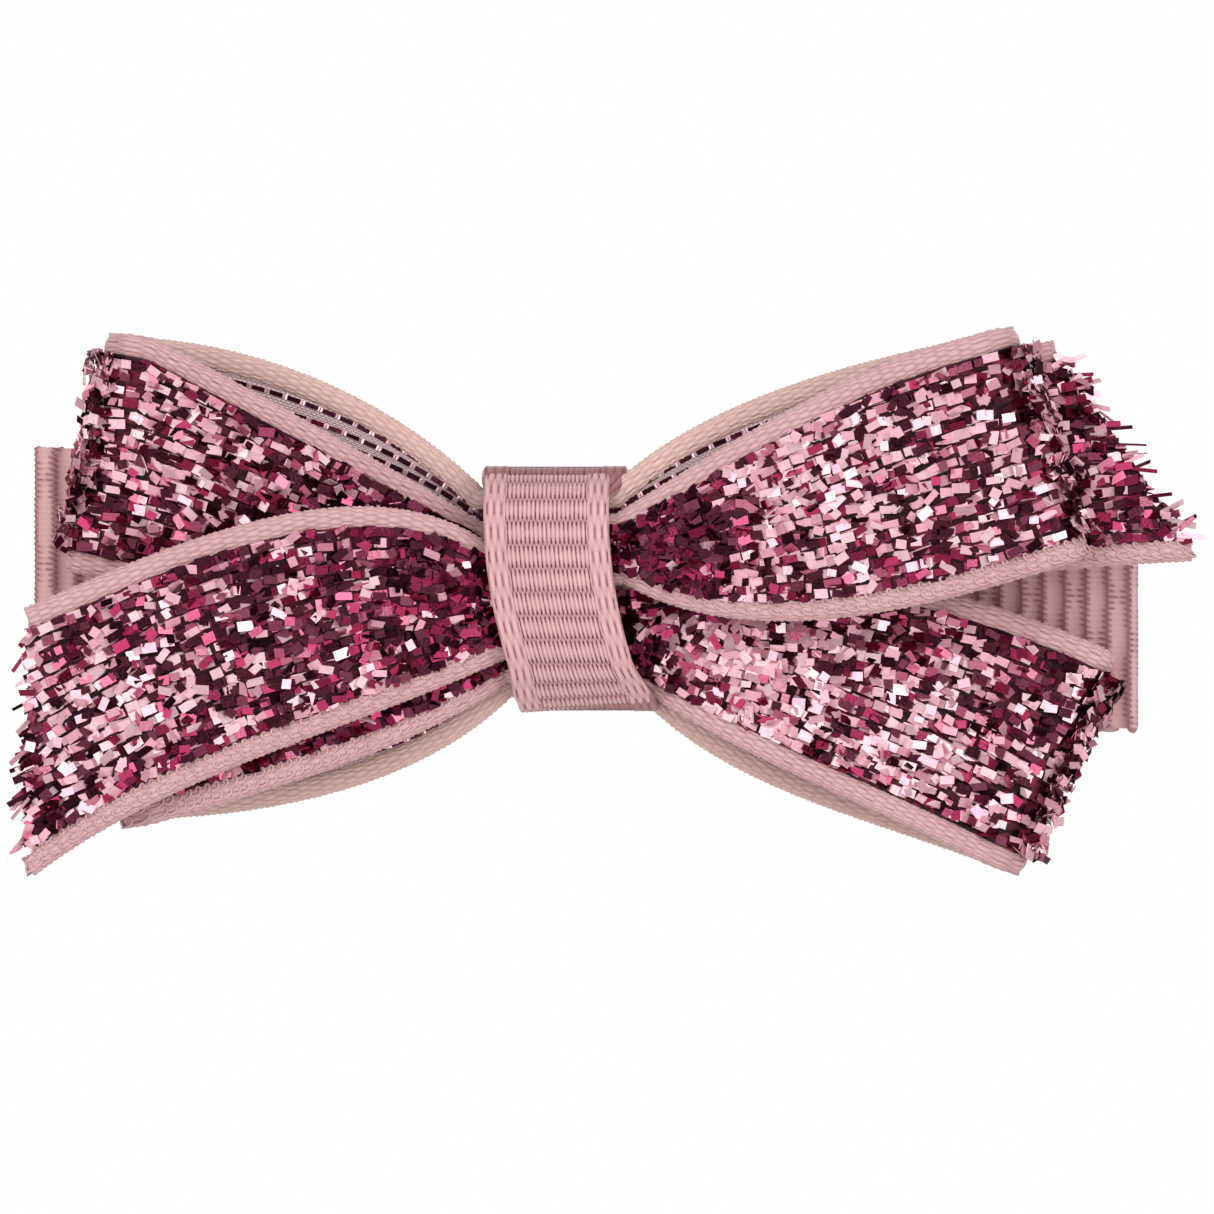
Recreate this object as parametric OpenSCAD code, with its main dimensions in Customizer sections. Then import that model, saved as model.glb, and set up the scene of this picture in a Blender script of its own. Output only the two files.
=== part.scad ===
// Hair bow: a two-ribbon glitter bow on a flat ribbon loop, bound with a ribbon knot to a steel clip.
// X runs along the bow, Z is up its face and -Y is the side that shows. The clip bites at Y = 0.

/* [Glitter ribbon] */
// Width of the glitter ribbon from selvedge to selvedge
ribbon_w = 12; // [9:0.5:15]
// Thickness of the glitter ribbon with its foil
ribbon_t = 0.6; // [0.4:0.05:0.65]
// Distance between the layers where the knot holds them
layer_pitch = 0.75; // [0.7:0.05:1.2]

/* [Upper left loop] */
// Distance from the knot's centre to the middle of the fold
ul_reach = 24.4; // [18:0.2:30]
// Direction of the middle of the fold, in degrees
ul_rise = 163.7; // [155:0.5:170]
// Direction in which the ribbon meets its fold, in degrees
ul_lean = 169.5; // [160:0.5:180]

/* [Lower left loop] */
// Distance from the knot's centre to the middle of the fold
ll_reach = 24; // [18:0.2:30]
// Direction of the middle of the fold, in degrees
ll_rise = 195.1; // [190:0.5:205]
// Direction in which the ribbon meets its fold, in degrees
ll_lean = 196.5; // [185:0.5:205]

/* [Upper right loop] */
// Distance from the knot's centre to the middle of the fold
ur_reach = 25.5; // [18:0.2:31]
// Direction of the middle of the fold, in degrees
ur_rise = 16.7; // [12:0.5:25]
// Direction in which the ribbon meets its fold, in degrees
ur_lean = 17.8; // [8:0.5:25]

/* [Lower right loop] */
// Distance from the knot's centre to the middle of the fold
lr_reach = 26.9; // [19:0.2:32]
// Direction of the middle of the fold, in degrees
lr_rise = -19.3; // [-26:0.5:-15]
// Direction in which the ribbon meets its fold, in degrees
lr_lean = -24.4; // [-30:0.5:-12]

/* [Tails] */
// Distance from the knot's centre to the middle of the left tail's cut end
left_tail_reach = 27.4; // [20:0.2:34]
// Direction of the middle of the left tail's cut end, in degrees
left_tail_rise = 196.3; // [190:0.5:204]
// Angle of the left tail's cut away from square, in degrees
left_tail_slant = -25; // [-35:1:10]
// Distance from the knot's centre to the middle of the right tail's cut end
right_tail_reach = 29.1; // [27:0.2:35]
// Direction of the middle of the right tail's cut end, in degrees
right_tail_rise = 13.7; // [10:0.5:20]
// Angle of the right tail's cut away from square, in degrees
right_tail_slant = 22; // [-10:1:35]

/* [Loop depth] */
// Depth of a loop's fold at the edge nearest the bow's middle line
fold_inner = 1.5; // [1.3:0.1:2.5]
// Depth of a loop's fold at the edge furthest from the bow's middle line
fold_outer = 4.4; // [2:0.1:6]
// Clear distance between ribbon layers that pass over each other
layer_gap = 0.35; // [0.3:0.05:0.8]
// Further distance by which the left tail stands off the loop behind it
tail_lift = 0.8; // [0.6:0.1:2]

/* [Base ribbon] */
// Width of the flat grosgrain loop behind the bow
base_w = 12.4; // [10:0.2:16]
// Thickness of the grosgrain
base_t = 0.45; // [0.3:0.05:0.6]
// Length of the flat loop
base_length = 56; // [44:1:64]
// Distance of the loop's middle from the knot, to the right
base_shift = 1.4; // [-3:0.1:3]
// Tilt of the loop, clockwise, in degrees
base_tilt = 1.8; // [-4:0.1:4]
// Space between the loop's two layers
base_gap = 0.8; // [0.6:0.1:2]
// Space the knot leaves above and below the gathered loop
waist_gap = 0.45; // [0.3:0.05:0.6]

/* [Knot] */
// Width of the ribbon strip round the knot
wrap_w = 6.2; // [4:0.2:9]
// Thickness of one turn of the strip
wrap_t = 0.45; // [0.3:0.05:0.6]
// Height of the knot, outside
wrap_h = 11.9; // [11.7:0.1:15]
// Height of the knot's middle
wrap_z = -0.35; // [-0.6:0.05:0.4]
// Lean of the knot, in degrees: its foot goes right
wrap_lean = 9; // [-12:1:12]
// Distance by which the inner turn shows to the right of the outer one
wrap_step = 1; // [0:0.1:2]
// Radius of the knot's corners, outside
wrap_corner = 2; // [1.2:0.1:2.4]
// Thickness of the binding thread
thread_d = 0.28; // [0.2:0.02:0.4]
// Number of turns of the binding thread
thread_turns = 5; // [3:1:6]

/* [Glue] */
// Thickness of the glue between the bow and the loop behind it
bow_glue_t = 0.4; // [0.35:0.05:0.8]
// Thickness of the glue between the loop and the clip
clip_glue_t = 0.3; // [0.2:0.05:0.8]
// Length of the glue on the clip
clip_glue_length = 34; // [20:1:40]

/* [Clip] */
// Thickness of the sheet steel
steel_t = 0.6; // [0.4:0.05:0.8]
// Width of the top plate
plate_w = 8; // [6:0.2:9]
// Distance from the knot to the tip of the clip's mouth
mouth_reach = 21.5; // [15:0.5:25]
// Distance from the knot to the hinge pin
pin_reach = 10; // [8:0.5:14]
// Distance from the hinge pin to the ends of the finger tabs
tab_length = 14.5; // [10:0.5:20]
// Height of the hinge pin's axis behind the plate
pin_height = 3.4; // [3:0.1:5]
// Diameter of the hinge pin
pin_d = 1.6; // [1.2:0.1:2]
// Diameter of the pin's rolled heads
pin_head_d = 2.8; // [2.4:0.1:3.4]
// Space between the teeth and the plate when the clip is shut
bite_gap = 0.3; // [0.3:0.05:1]
// Height of the teeth
tooth_h = 0.9; // [0.5:0.1:1.2]
// Distance from one tooth to the next
tooth_pitch = 1.6; // [1.2:0.1:2.5]
// Number of teeth on each edge of the jaw
tooth_count = 6; // [3:1:8]
// Rise of the jaw's arch over the knot
jaw_arch = 2.7; // [2.5:0.1:4]
// Angle of the jaw's finger tab to the plate, in degrees
tab_angle = 22; // [15:1:26]
// Thickness of the spring's wire
wire_d = 0.7; // [0.5:0.05:0.8]
// Number of turns in the spring's coil
coil_turns = 4; // [3:1:5]

/* [Hidden] */

// Steps along one layer, round one fold, across the knot and across the ribbon's width.
layer_steps = 9;
fold_steps = 5;
knot_steps = 2;
width_steps = 4;

// Running and assembly clearances.
pin_clearance = 0.05;
touch = 0.02;
ear_gap = 0.15;
wrap_slack = 0.1;
edge_ease = 0.2;

// Depths, from the clip forwards. The bite is at Y = 0.
plate_back = -bite_gap / 2;
plate_front = plate_back - steel_t;
base_back = plate_front - clip_glue_t;
base_front = base_back - 2 * base_t - base_gap;
level_5 = base_front - bow_glue_t - ribbon_t / 2;
level_4 = level_5 - layer_pitch;
level_3 = level_4 - layer_pitch;
level_2 = level_3 - layer_pitch;
level_1 = level_2 - layer_pitch;
bundle_front = level_1 - ribbon_t / 2;
knot_half = wrap_w / 2 + edge_ease;

// Depths at the folds and the tails' ends: [edge near the middle line, edge away from it].
step = ribbon_t + layer_gap;
fall_back = [level_5, level_5];
fall_front = [level_5 - fold_inner, level_5 - fold_outer];
ll_back_y = [fall_front[0] - step, level_5 - layer_gap];
ll_front_y = [ll_back_y[0] - fold_inner, ll_back_y[1] - fold_outer];
left_tail_y = [ll_front_y[0] - step - tail_lift / 2, ll_front_y[1] - step - tail_lift];
right_tail_y = [fall_front[0] - step, level_5 - layer_gap];
ur_back_y = [right_tail_y[0] - step, right_tail_y[1] - step];
ur_front_y = [ur_back_y[0] - fold_inner, ur_back_y[1] - fold_outer];

function polar(r, a) = [r * cos(a), r * sin(a)];
function mix(a, b, t) = a + (b - a) * t;
function cubic(p, t) = pow(1 - t, 3) * p[0] + 3 * pow(1 - t, 2) * t * p[1]
                       + 3 * (1 - t) * t * t * p[2] + pow(t, 3) * p[3];

// The low and high corners of a ribbon's fold or cut end, as [x, z].
function end_corner(reach, rise, lean, slant, high) =
    let (up = abs(lean) > 90 ? lean - 90 : lean + 90)
    polar(reach, rise) + polar((high ? 1 : -1) * ribbon_w / 2 / cos(slant), up + slant);

// Where the ribbons come out of the knot at height z, left (-1) or right (1).
function knot_edge(side, z) =
    side * knot_half - (z - wrap_z) * tan(wrap_lean) + (side > 0 ? wrap_step : 0);

// One selvedge in the XZ plane: from the knot at height z, leaving at angles[0] and ending at angles[1].
function selvedge(side, z, corner, angles) =
    let (start = [knot_edge(side, z), z], pull = norm(corner - start) / 3)
    [start, start + polar(pull, angles[0]), corner - polar(pull, angles[1]), corner];

// One layer of a wing: its two selvedges, its level in the knot, its depths at the far end,
// and whether the wing points up, which sets the edge that lies near the middle line.
function layer(side, gather, low_angles, high_angles, low_corner, high_corner, level, depths, up) =
    [selvedge(side, gather[0], low_corner, low_angles), selvedge(side, gather[1], high_corner, high_angles),
     level, depths, up];

// Cupping: the depth changes with the square of the distance from the edge near the middle line.
function across(l, v) = l[4] ? v * v : (1 - v) * (1 - v);
function layer_row(l, t) = [for (k = [0 : width_steps])
    let (v = k / width_steps, flat = mix(cubic(l[0], t), cubic(l[1], t), v),
         far = mix(l[3][0], l[3][1], across(l, v)), near = l[2] + (far - l[2]) * 0.3)
    [flat[0], cubic([l[2], near, far, far], t), flat[1]]];
function outward(l) = [for (i = [0 : layer_steps]) layer_row(l, i / layer_steps)];
function inward(l) = [for (i = [layer_steps : -1 : 0]) layer_row(l, i / layer_steps)];

// The half turn from one layer's end to the other's, bulging the way the ribbon leans.
function fold_row(a, b, lean, angle) = [for (k = [0 : width_steps])
    let (p = a[k], q = b[k], r = abs(p[1] - q[1]) / 2, out = polar(r * sin(angle), lean))
    [p[0] + out[0], mix(p[1], q[1], (1 - cos(angle)) / 2), p[2] + out[1]]];
function fold(a, b, lean) = [for (i = [1 : fold_steps - 1]) fold_row(a, b, lean, 180 * i / fold_steps)];
function crossing(a, b) = [for (i = [1 : knot_steps - 1]) [for (k = [0 : width_steps]) mix(a[k], b[k], i / knot_steps)]];

// A loop's corners stop short of its fold line by the fold's own radius.
function loop_corner(reach, rise, lean, high, up) =
    end_corner(reach, rise, lean, 0, high) - polar((high == up ? fold_outer : fold_inner) / 2, lean);

ul_low = loop_corner(ul_reach, ul_rise, ul_lean, false, true);
ul_high = loop_corner(ul_reach, ul_rise, ul_lean, true, true);
ll_low = loop_corner(ll_reach, ll_rise, ll_lean, false, false);
ll_high = loop_corner(ll_reach, ll_rise, ll_lean, true, false);
ur_low = loop_corner(ur_reach, ur_rise, ur_lean, false, true);
ur_high = loop_corner(ur_reach, ur_rise, ur_lean, true, true);
lr_low = loop_corner(lr_reach, lr_rise, lr_lean, false, false);
lr_high = loop_corner(lr_reach, lr_rise, lr_lean, true, false);
left_tail_lean = 205;
right_tail_lean = 12;
lt_low = end_corner(left_tail_reach, left_tail_rise, left_tail_lean, left_tail_slant, false);
lt_high = end_corner(left_tail_reach, left_tail_rise, left_tail_lean, left_tail_slant, true);
rt_low = end_corner(right_tail_reach, right_tail_rise, right_tail_lean, right_tail_slant, false);
rt_high = end_corner(right_tail_reach, right_tail_rise, right_tail_lean, right_tail_slant, true);

// The layers: heights of the two selvedges at the knot, then the angles at which the low one
// and the high one leave the knot and arrive.
left_tail = layer(-1, [-3.2, 1.8], [207, 218], [141, 203], lt_low, lt_high, level_1, left_tail_y, false);
ur_front = layer(1, [0.7, 3.2], [-32, ur_lean], [34, ur_lean - 4], ur_low, ur_high, level_1, ur_front_y, true);
ur_back = layer(1, [0.9, 4.6], [-24, ur_lean], [46, ur_lean - 6], ur_low, ur_high, level_2, ur_back_y, true);
ll_front = layer(-1, [-4.3, -0.5], [217, ll_lean], [165, ll_lean], ll_low, ll_high, level_2, ll_front_y, false);
ll_back = layer(-1, [-5, -1.2], [228, ll_lean - 14], [170, ll_lean], ll_low, ll_high, level_3, ll_back_y, false);
right_tail = layer(1, [0.6, 4.2], [-8, 2], [35, 12], rt_low, rt_high, level_3, right_tail_y, true);
ul_front = layer(-1, [-1.8, 2.8], [188, ul_lean], [148, ul_lean - 18], ul_low, ul_high, level_4, fall_front, true);
lr_front = layer(1, [-4.6, 0.2], [-37, lr_lean - 3], [12, lr_lean], lr_low, lr_high, level_4, fall_front, false);
ul_back = layer(-1, [0.6, 4.6], [175, ul_lean], [133, ul_lean + 6], ul_low, ul_high, level_5, fall_back, true);
lr_back = layer(1, [-5, -0.6], [-50, lr_lean + 4], [5, lr_lean], lr_low, lr_high, level_5, fall_back, false);

function last(list) = list[len(list) - 1];

// A loop drawn outwards on its first layer and back on its second.
function loop(first, second, lean) =
    concat(outward(first), fold(last(outward(first)), inward(second)[0], lean), inward(second));

// Left tail, upper right loop, lower left loop, right tail.
function rising_rows() =
    let (tail = inward(left_tail), right = loop(ur_front, ur_back, ur_lean),
         left = loop(ll_front, ll_back, ll_lean), end = outward(right_tail))
    concat(tail, crossing(last(tail), right[0]), right, crossing(last(right), left[0]), left,
           crossing(last(left), end[0]), end);

// From the middle of the knot round the lower right loop and the upper left loop, back to the middle.
function falling_rows() =
    let (right = loop(lr_back, lr_front, lr_lean), left = loop(ul_front, ul_back, ul_lean),
         middle = [for (k = [0 : width_steps]) mix(last(left)[k], right[0][k], 0.5)])
    concat([[for (p = middle) p + [layer_gap / 2, 0, 0]]], right, crossing(last(right), left[0]), left,
           [[for (p = middle) p - [layer_gap / 2, 0, 0]]]);

// A strip of cloth of one thickness along rows of points that run across its width.
function facing(rows, i, k) =
    let (n = len(rows) - 1, m = len(rows[0]) - 1,
         along = rows[min(i + 1, n)][k] - rows[max(i - 1, 0)][k],
         wide = rows[i][min(k + 1, m)] - rows[i][max(k - 1, 0)], c = cross(along, wide))
    c / norm(c);
module cloth(rows, thickness) {
    m = len(rows[0]);
    n = len(rows);
    ring = 2 * m;
    points = [for (i = [0 : n - 1]) each concat(
        [for (k = [0 : m - 1]) rows[i][k] + facing(rows, i, k) * thickness / 2],
        [for (k = [m - 1 : -1 : 0]) rows[i][k] - facing(rows, i, k) * thickness / 2])];
    sides = [for (i = [0 : n - 2], j = [0 : ring - 1])
        let (a = i * ring + j, b = i * ring + (j + 1) % ring) each [[a, b, b + ring], [a, b + ring, a + ring]]];
    ends = [for (k = [0 : m - 2], far = [0, 1])
        let (s = far * (n - 1) * ring, q = [k, k + 1, ring - 2 - k, ring - 1 - k],
             turn = far ? q : [q[3], q[2], q[1], q[0]])
        each [[s + turn[0], s + turn[1], s + turn[2]], [s + turn[0], s + turn[2], s + turn[3]]]];
    polyhedron(points, concat(sides, ends));
}

module rising_ribbon() { color("palevioletred") cloth(rising_rows(), ribbon_t); }
module falling_ribbon() { color("palevioletred") cloth(falling_rows(), ribbon_t); }

// The flat loop is gathered at the knot: its half height at a distance x from it.
base_waist_reach = 8;
base_waist = wrap_h - 4 * wrap_t - 2 * waist_gap;
function base_half(x) =
    let (s = min(1, max(0, (abs(x) - knot_half) / base_waist_reach)))
    mix(base_waist / 2, base_w / 2, s * s * (3 - 2 * s));
function base_row(x, y) =
    let (tilt = -(x - base_shift) * tan(base_tilt), middle = mix(wrap_z, tilt, min(1, abs(x) / base_waist_reach)))
    [for (v = [-1, 1]) [x, y, middle + v * base_half(x)]];
base_steps = 12;
module base_ribbon() {
    r = (base_gap + base_t) / 2;
    y_back = base_back - base_t / 2;
    y_front = y_back - 2 * r;
    left = base_shift - base_length / 2 + r + base_t / 2;
    right = base_shift + base_length / 2 - r - base_t / 2;
    seam = layer_gap / 2;
    turn = [for (i = [1 : fold_steps]) 180 * i / (fold_steps + 1)];
    rows = concat(
        [for (i = [0 : base_steps]) base_row(mix(seam, right, i / base_steps), y_back)],
        [for (a = turn) base_row(right + r * sin(a), y_back - r + r * cos(a))],
        [for (i = [0 : 2 * base_steps]) base_row(mix(right, left, i / base_steps / 2), y_front)],
        [for (a = turn) base_row(left - r * sin(a), y_front + r - r * cos(a))],
        [for (i = [0 : base_steps]) base_row(mix(left, -seam, i / base_steps), y_back)]);
    color("rosybrown") cloth(rows, base_t);
}

// A band round the knot: a rounded rectangle in the YZ plane, of the given wall and width along X.
wrap_back = plate_back + wrap_slack;
module band_outline(grow) {
    h = wrap_h / 2 - 2 * wrap_t + grow;
    front = bundle_front - thread_d - 2 * touch - grow;
    back = wrap_back + grow;
    r = wrap_corner - 2 * wrap_t + grow;
    offset_points = [[front + r, h - r], [back - r, h - r], [back - r, r - h], [front + r, r - h]];
    for (p = offset_points) translate(p) circle(r, $fn = 32);
    translate([front + r, -h]) square([back - front - 2 * r, 2 * h]);
    translate([front, r - h]) square([back - front, 2 * h - 2 * r]);
}
module band(inner, outer, width) {
    rotate([90, 0, 90]) translate([0, 0, -width / 2]) linear_extrude(width) difference() {
        band_outline(outer);
        band_outline(inner);
    }
}
module knot_wrap() {
    lean = [[1, 0, -tan(wrap_lean), 0], [0, 1, 0, 0], [0, 0, 1, wrap_z]];
    color("rosybrown") multmatrix(lean) {
        band(wrap_t, 2 * wrap_t, wrap_w);
        translate([wrap_step, 0, 0]) band(0, wrap_t, wrap_w);
    }
}

// Turns of thread round the glitter ribbons, side by side: straight runs joined by quarter rings.
thread_h = wrap_h - 4 * wrap_t - thread_d - 0.4;
module thread_turn() {
    front = bundle_front - thread_d / 2 - touch;
    back = level_5 + ribbon_t / 2 + thread_d / 2 + touch;
    r = 1.2;
    h = thread_h / 2 - r;
    rotate([90, 0, 90]) {
        for (s = [-1, 1]) {
            translate([front + r, s * (h + r), 0]) rotate([0, 90, 0]) cylinder(d = thread_d, h = back - front - 2 * r, $fn = 16);
        }
        for (y = [front, back]) translate([y, h, 0]) rotate([90, 0, 0]) cylinder(d = thread_d, h = 2 * h, $fn = 16);
        for (c = [[back - r, h, 0], [front + r, h, 90], [front + r, -h, 180], [back - r, -h, 270]])
            translate([c[0], c[1], 0]) rotate([0, 0, c[2]]) rotate_extrude(angle = 90, $fn = 32)
                translate([r, 0]) circle(d = thread_d, $fn = 16);
    }
}
module binding_thread() {
    color("gainsboro") translate([0, 0, wrap_z])
        for (i = [0 : thread_turns - 1])
            translate([(i - (thread_turns - 1) / 2) * (thread_d + touch), 0, 0]) thread_turn();
}

// Hot glue: two dabs beside the thread, and one long strip on the clip.
thread_span = thread_turns * (thread_d + touch);
module bow_glue() {
    w = 4.5;
    h = 6;
    color("ivory") for (s = [-1, 1])
        translate([s * (thread_span / 2 + 0.9 + w / 2) - w / 2, base_front - bow_glue_t + touch, wrap_z - h / 2])
            cube([w, bow_glue_t - 2 * touch, h]);
}
module clip_glue() {
    h = plate_w - 1.5;
    color("ivory") translate([-clip_glue_length / 2, base_back + touch, -h / 2])
        cube([clip_glue_length, clip_glue_t - 2 * touch, h]);
}

// The clip. Its plate and jaw are sheet steel, seen here in plan: X along it, Y through it.
pin_y = plate_back + pin_height;
plate_end = pin_reach + tab_length;
ear_r = pin_d / 2 + 1.2;
module in_plan(z, height) { translate([0, 0, z]) linear_extrude(height) children(); }
module ear_outline(web_y) {
    circle(ear_r, $fn = 48);
    low = min(0, web_y - pin_y);
    high = max(0, web_y - pin_y);
    translate([-ear_r, low]) square([2 * ear_r, high - low]);
}
module pin_bore(clearance) {
    translate([pin_reach, pin_y, -plate_w]) cylinder(d = pin_d + 2 * clearance, h = 2 * plate_w, $fn = 48);
}
module clip_plate() {
    nose = 2.5;
    color("silver") difference() {
        union() {
            hull() for (x = [nose - mouth_reach, plate_end - nose], z = [nose - plate_w / 2, plate_w / 2 - nose])
                translate([x, plate_back, z]) rotate([90, 0, 0]) cylinder(r = nose, h = steel_t, $fn = 32);
            for (z = [-plate_w / 2, plate_w / 2 - steel_t])
                in_plan(z, steel_t) translate([pin_reach, pin_y]) ear_outline(plate_front);
        }
        pin_bore(0);
    }
}

// The jaw arches from its teeth over the knot to the pin, then turns up into the finger tab.
jaw_w = plate_w - 2 * steel_t - 2 * ear_gap;
jaw_front = bite_gap / 2 + tooth_h;
jaw_pin_web = pin_y + ear_r + 0.4;
toothed = tooth_count * tooth_pitch;
function jaw_line(x) = x < toothed - mouth_reach ? jaw_front
    : let (s = (x - toothed + mouth_reach) / (pin_reach - toothed + mouth_reach))
      jaw_front + (jaw_pin_web - jaw_front) * s * s * (3 - 2 * s) + jaw_arch * pow(sin(180 * s), 2) * 0.5;
jaw_steps = 56;
heel_bend = 1.1;
heel_steps = 12;
module jaw_profile() {
    xs = [for (i = [0 : jaw_steps]) mix(toothed - mouth_reach, pin_reach, i / jaw_steps)];
    tip = [-mouth_reach, jaw_front];
    heel = [pin_reach + 1.2, jaw_pin_web];
    end = heel + polar(tab_length - 1.2, tab_angle);
    over = [0, steel_t];
    bend = [for (i = [0 : heel_steps]) let (t = i / heel_steps)
        heel + [-heel_bend, 0] * (1 - t) * (1 - t) + polar(heel_bend, tab_angle) * t * t];
    polygon(concat([tip], [for (x = xs) [x, jaw_line(x)]], bend, [end, end + over],
                   [for (i = [heel_steps : -1 : 0]) bend[i] + over],
                   [for (i = [jaw_steps : -1 : 0]) [xs[i], jaw_line(xs[i]) + steel_t]], [tip + over]));
}
module teeth_profile() {
    for (i = [0 : tooth_count - 1]) translate([-mouth_reach + (i + 0.5) * tooth_pitch, jaw_front])
        polygon([[-tooth_pitch * 0.42, 0], [-tooth_pitch * 0.14, -tooth_h], [tooth_pitch * 0.14, -tooth_h],
                 [tooth_pitch * 0.42, 0], [tooth_pitch * 0.42, steel_t / 2], [-tooth_pitch * 0.42, steel_t / 2]]);
}
module clip_jaw() {
    color("silver") difference() {
        union() {
            in_plan(-jaw_w / 2, jaw_w) jaw_profile();
            for (z = [-jaw_w / 2, jaw_w / 2 - steel_t]) {
                in_plan(z, steel_t) teeth_profile();
                in_plan(z, steel_t) translate([pin_reach, pin_y]) ear_outline(jaw_pin_web + steel_t / 2);
            }
        }
        pin_bore(pin_clearance);
    }
}

// The pin's heads are rolled over the plate's ears.
module hinge_pin() {
    head_t = 0.4;
    color("gainsboro") translate([pin_reach, pin_y, 0]) {
        translate([0, 0, -plate_w / 2 - head_t]) cylinder(d = pin_d, h = plate_w + 2 * head_t, $fn = 48);
        for (z = [-plate_w / 2 - head_t, plate_w / 2]) translate([0, 0, z]) cylinder(d = pin_head_d, h = head_t, $fn = 48);
    }
}

// The spring is one wire: the coil and the leg on the plate stay still, and the other leg turns with the jaw.
coil_r = pin_d / 2 + 0.15 + wire_d / 2;
plate_leg = 7.5;
jaw_leg = 5;
open_turn = 320;
// The still leg slopes down to rest its end on the plate.
leg_drop = asin((pin_height - coil_r - wire_d / 2 - ear_gap) / plate_leg);
function coil_z(i) = (i - (coil_turns - 1) / 2) * (wire_d + touch);
module coil_turn(z, start, sweep) {
    translate([0, 0, z]) rotate([0, 0, start]) rotate_extrude(angle = sweep, $fn = 48)
        translate([coil_r, 0]) circle(d = wire_d, $fn = 20);
}
module leg(length) { rotate([0, 90, 0]) cylinder(d = wire_d, h = length, $fn = 20); }
module spring_coil() {
    color("slategray") translate([pin_reach, pin_y, 0]) {
        for (i = [1 : coil_turns - 2]) coil_turn(coil_z(i), 0, 360);
        rotate([0, 0, -leg_drop]) {
            coil_turn(coil_z(0), -90 - open_turn, open_turn);
            translate([0, -coil_r, coil_z(0)]) leg(plate_leg);
        }
    }
}
module spring_leg() {
    color("slategray") translate([pin_reach, pin_y, 0]) rotate([0, 0, tab_angle]) {
        coil_turn(coil_z(coil_turns - 1), 90, open_turn);
        translate([0, coil_r, coil_z(coil_turns - 1)]) leg(jaw_leg);
    }
}

rising_ribbon();
falling_ribbon();
base_ribbon();
knot_wrap();
binding_thread();
bow_glue();
clip_glue();
clip_plate();
clip_jaw();
hinge_pin();
spring_coil();
spring_leg();
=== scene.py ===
"""A glitter ribbon hair bow, bound with a grosgrain knot to a sprung steel clip."""

import math

import bmesh
import bpy
import numpy as np
from mathutils import Matrix, Vector


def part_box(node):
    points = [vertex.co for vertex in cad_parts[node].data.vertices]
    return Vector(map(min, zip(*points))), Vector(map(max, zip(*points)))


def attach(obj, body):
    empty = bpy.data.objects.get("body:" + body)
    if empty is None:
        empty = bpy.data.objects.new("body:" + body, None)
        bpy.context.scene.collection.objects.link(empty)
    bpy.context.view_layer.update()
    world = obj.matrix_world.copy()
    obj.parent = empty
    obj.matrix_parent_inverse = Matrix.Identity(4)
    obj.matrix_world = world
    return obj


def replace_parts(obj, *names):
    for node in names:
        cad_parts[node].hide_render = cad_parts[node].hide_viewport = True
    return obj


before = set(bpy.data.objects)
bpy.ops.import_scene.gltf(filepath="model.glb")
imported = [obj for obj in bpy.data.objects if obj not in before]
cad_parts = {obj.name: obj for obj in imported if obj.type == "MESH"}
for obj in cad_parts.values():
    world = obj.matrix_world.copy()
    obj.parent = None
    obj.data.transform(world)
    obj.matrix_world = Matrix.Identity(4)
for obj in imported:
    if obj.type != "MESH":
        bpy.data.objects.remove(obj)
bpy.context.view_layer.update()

# ---------------------------------------------------------------------------
# The studio: a pale floor under the bow, a white surround, and large soft panels with dark
# gaps between them, so that each piece of foil finds something light or dark to mirror.

MM = 0.001
view_middle = Vector((2.45, -5.0, -0.95)) * MM
view_width = 60.7 * MM
view_distance = 0.6
floor_height = -34 * MM


def shown(name, data):
    """A new object in the scene."""
    made = bpy.data.objects.new(name, data)
    bpy.context.scene.collection.objects.link(made)
    return made


camera = shown("camera", bpy.data.cameras.new("camera"))
camera.data.lens = camera.data.sensor_width * view_distance / view_width
camera.data.clip_start = 0.05
camera.data.clip_end = 20
camera.location = view_middle - Vector((0, view_distance, 0))
camera.rotation_euler = (math.pi / 2, 0, 0)
bpy.context.scene.camera = camera
bpy.context.scene.view_settings.view_transform = "Standard"


def panel(name, place, width, height, power):
    """A soft panel that faces the bow."""
    light = bpy.data.lights.new(name, "AREA")
    light.shape = "RECTANGLE"
    light.size = width
    light.size_y = height
    light.energy = power
    lamp = shown(name, light)
    lamp.location = place
    lamp.rotation_euler = (view_middle - Vector(place)).to_track_quat("-Z", "Y").to_euler()


panel("left_panel", (-0.62, -0.78, 0.16), 0.75, 0.95, 4.6)
panel("right_panel", (0.66, -0.76, 0.08), 0.6, 0.85, 4.0)
panel("top_panel", (0.05, -0.62, 0.8), 1.2, 0.5, 3.6)
panel("low_panel", (0.1, -0.85, -0.55), 0.9, 0.25, 1.1)
panel("front_panel", (0.0, -1.3, -0.02), 0.34, 0.5, 0.4)
panel("back_left_panel", (-0.6, 0.8, 0.3), 0.7, 0.9, 3.0)
panel("back_right_panel", (0.7, 0.7, 0.2), 0.6, 0.8, 2.4)
panel("back_panel", (0.1, 1.15, 0.12), 1.0, 0.7, 3.2)

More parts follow.
